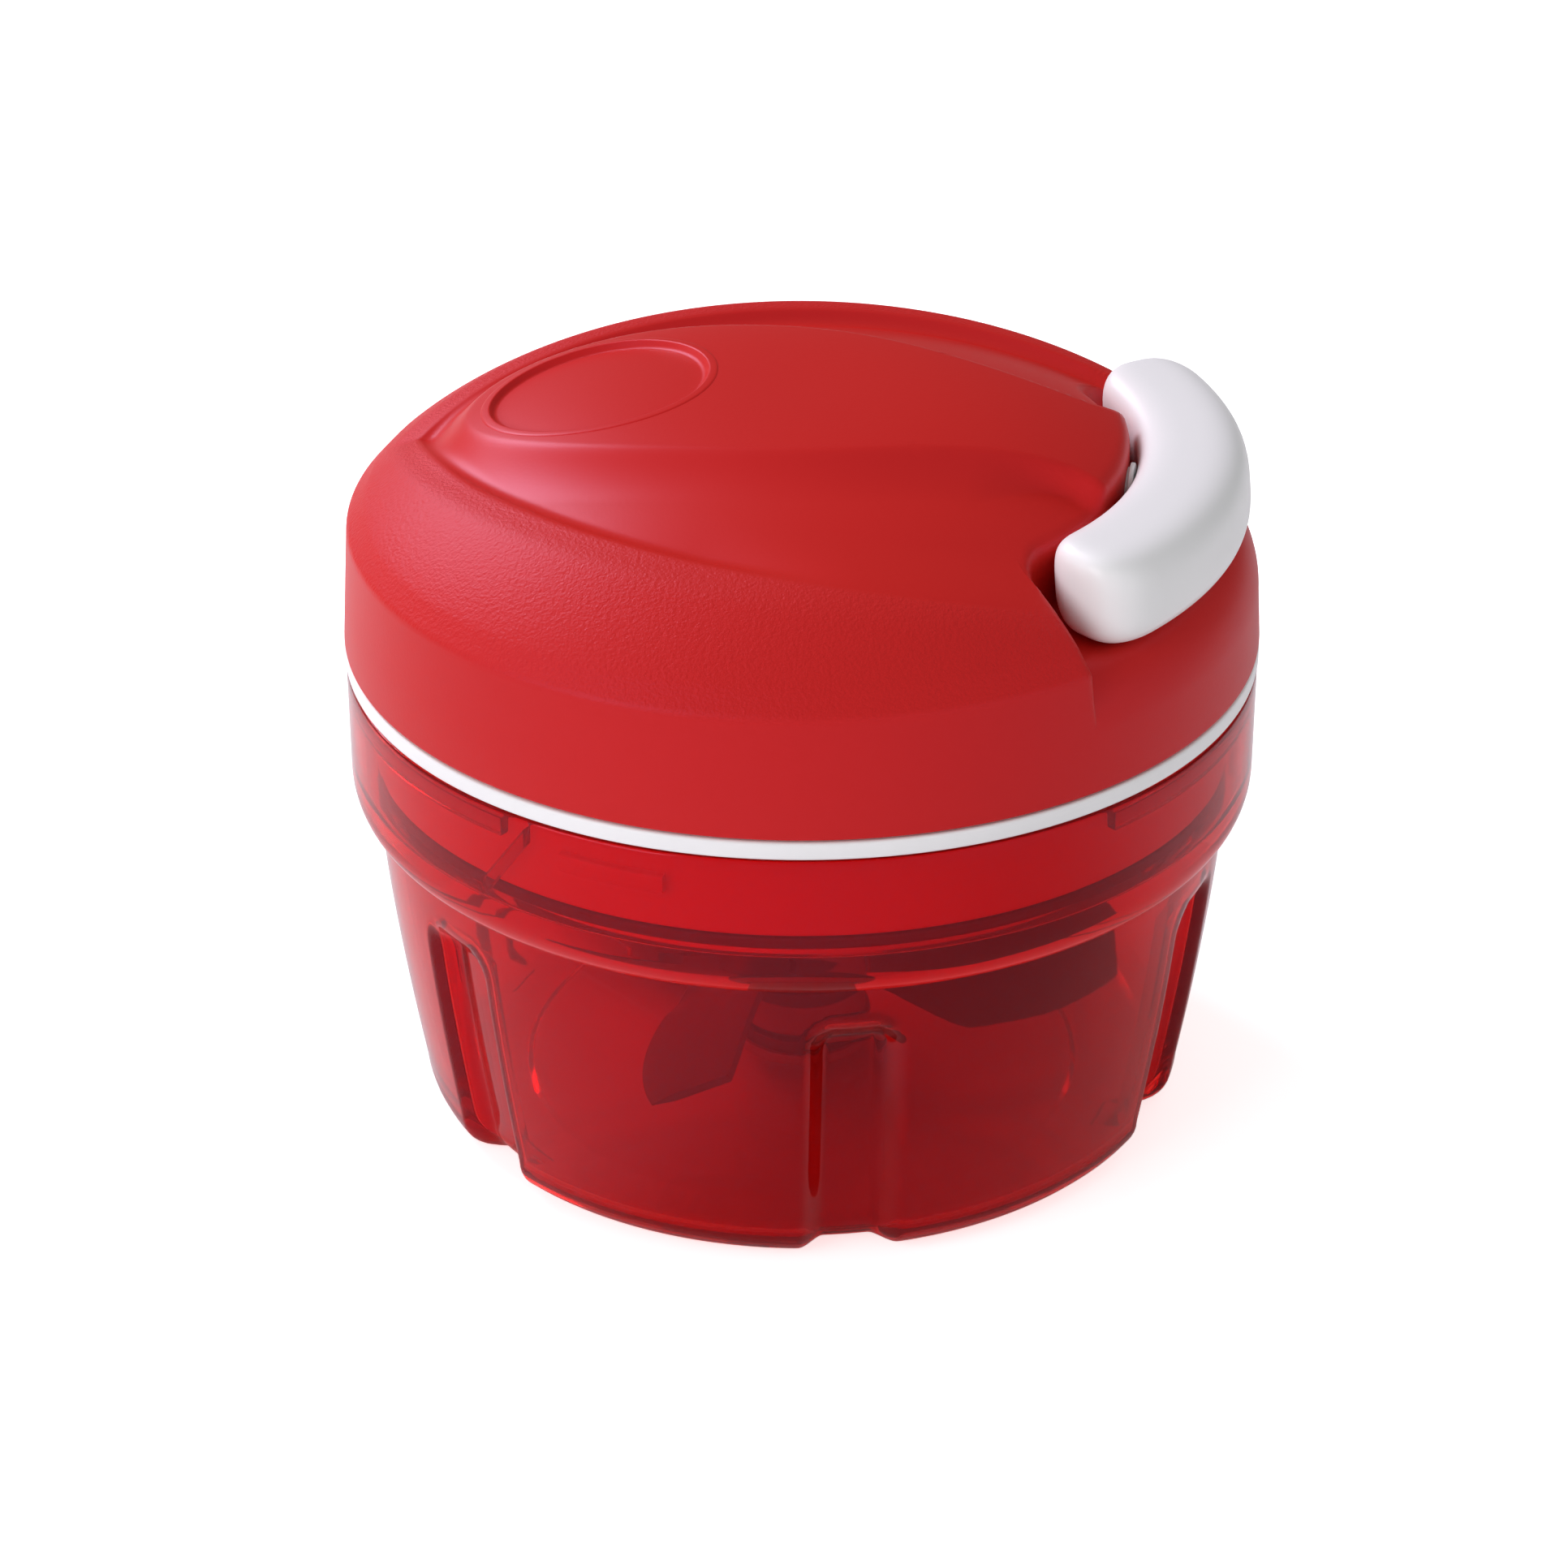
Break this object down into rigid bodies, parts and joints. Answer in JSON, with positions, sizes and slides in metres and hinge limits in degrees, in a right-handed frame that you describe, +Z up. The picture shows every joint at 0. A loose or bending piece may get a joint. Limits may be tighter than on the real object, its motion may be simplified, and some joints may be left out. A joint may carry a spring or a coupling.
{
  "type": "food chopper",
  "caption": "Pull-cord hand food chopper: domed red lid with a recoil cord reel, white pull handle, clear red fluted bowl and a lift-out stack of spinning steel blades.",
  "frame": {"origin": "centre of the bowl's foot, on the axis that the bowl, lid and blades share", "axes": "+Z up along the axis; +X the way the handle is pulled"},
  "size_m": [0.12, 0.12, 0.101],
  "materials": {
    "clear_red_plastic": "clear tinted, polished",
    "red_plastic": "satin with fine grain",
    "white_plastic": "smooth",
    "seal_rubber": "soft matte",
    "grey_plastic": "moulded",
    "steel": "plain",
    "blade_steel": "ground",
    "cord_fibre": "braided"
  },
  "bodies": {
    "bowl": {"bowl": "clear_red_plastic", "pivot_pin": "steel"},
    "lid": {"lid_cover": "red_plastic", "lid_base": "white_plastic", "seal_ring": "seal_rubber", "cord_eyelet": "white_plastic", "spring_arbor": "grey_plastic", "arbor_screw": "steel", "arbor_washer": "steel", "drive_bush": "grey_plastic", "lid_screw_1": "steel", "lid_screw_2": "steel", "lid_screw_3": "steel", "lid_screw_4": "steel", "pull_cord": "cord_fibre"},
    "handle": {"handle_grip": "white_plastic", "handle_plug": "white_plastic", "cord_knot": "cord_fibre"},
    "reel": {"reel": "grey_plastic", "reel_cap": "grey_plastic", "cord_winding": "cord_fibre", "recoil_spring": "steel", "pawl_pin_a": "steel", "pawl_pin_b": "steel"},
    "pawl_a": {"pawl_a": "white_plastic"},
    "pawl_b": {"pawl_b": "white_plastic"},
    "drive": {"drive_cup": "white_plastic", "drive_clip": "steel"},
    "blades": {"blade_shaft": "white_plastic", "blade_low": "blade_steel", "blade_mid": "blade_steel", "blade_high": "blade_steel", "blade_spacer_low": "white_plastic", "blade_spacer_high": "white_plastic", "blade_collar": "white_plastic"}
  },
  "joints": [
    {"name": "lid_lift", "type": "slide", "parent": "bowl", "child": "lid", "axis": [0, 0, 1], "range_m": [0, 0.12]},
    {"name": "handle_pull", "type": "slide", "parent": "lid", "child": "handle", "axis": [1, 0, 0], "range_m": [0, 0.36], "stiffness_N_per_m": 25, "springref_m": -0.06, "deforming": ["pull_cord"]},
    {"name": "reel_spin", "type": "hinge", "parent": "lid", "child": "reel", "pos_m": [0, 0, 0.087], "axis": [0, 0, 1], "range_deg": [0, 745]},
    {"name": "drive_spin", "type": "hinge", "parent": "lid", "child": "drive", "pos_m": [0, 0, 0.066], "axis": [0, 0, 1], "continuous": true},
    {"name": "blade_spin", "type": "hinge", "parent": "bowl", "child": "blades", "pos_m": [0, 0, 0.02], "axis": [0, 0, 1], "continuous": true},
    {"name": "pawl_a_swing", "type": "hinge", "parent": "reel", "child": "pawl_a", "pos_m": [0.015, 0, 0.0802], "axis": [0, 0, 1], "range_deg": [0, 14], "stiffness_Nm_per_rad": 0.0005, "springref_deg": -17.19},
    {"name": "pawl_b_swing", "type": "hinge", "parent": "reel", "child": "pawl_b", "pos_m": [-0.015, 0, 0.0802], "axis": [0, 0, 1], "range_deg": [0, 14], "stiffness_Nm_per_rad": 0.0005, "springref_deg": -17.19}
  ],
  "couplings": [
    {"joint": "reel_spin", "follows": "handle_pull", "rad_per_m": 35.8},
    {"joint": "drive_spin", "follows": "handle_pull", "rad_per_m": 35.8},
    {"joint": "blade_spin", "follows": "handle_pull", "rad_per_m": 35.8}
  ]
}
